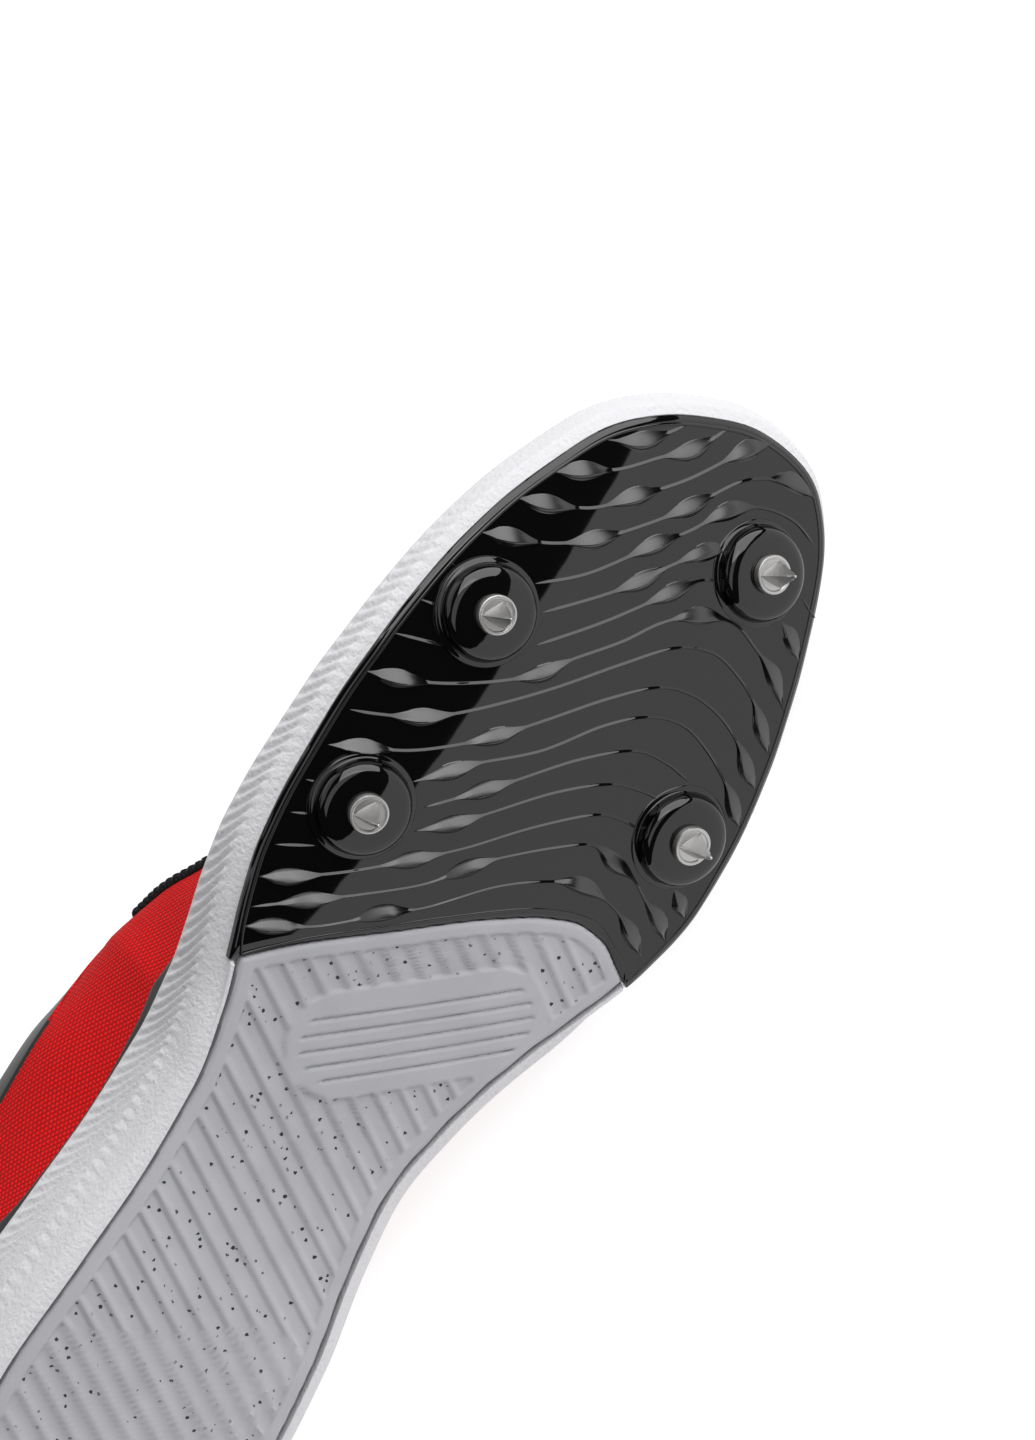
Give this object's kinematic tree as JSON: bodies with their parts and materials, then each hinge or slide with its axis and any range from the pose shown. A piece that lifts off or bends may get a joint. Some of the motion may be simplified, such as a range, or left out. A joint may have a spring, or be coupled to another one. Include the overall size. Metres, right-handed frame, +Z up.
{
  "type": "track spike shoe",
  "caption": "Right-foot running spike lying on its side: hollow laced mesh upper, foam midsole, nylon forefoot plate with domed bosses and screw-in pyramid spikes.",
  "frame": {"origin": "centre of the overall box, on the floor under the shoe", "axes": "+X from heel to toe, +Z up; the shoe lies on its medial side with the sole facing -Y and the collar facing +Y"},
  "size_m": [0.2852, 0.126, 0.0967],
  "materials": {
    "midsole_foam": "matte white foam",
    "outsole_foam": "matte grey foam",
    "plate_nylon": "glossy black",
    "spike_steel": "satin steel",
    "upper_mesh": "red woven mesh",
    "tongue_mesh": "black padded mesh",
    "insole_foam": "black cloth over foam",
    "lace_polyester": "black flat weave"
  },
  "bodies": {
    "root": {"insole": "insole_foam", "laces": "lace_polyester", "midsole": "midsole_foam", "rear_outsole": "outsole_foam", "spike_1": "spike_steel", "spike_2": "spike_steel", "spike_3": "spike_steel", "spike_4": "spike_steel", "spike_plate": "plate_nylon", "tongue": "tongue_mesh", "upper": "upper_mesh"}
  },
  "joints": []
}
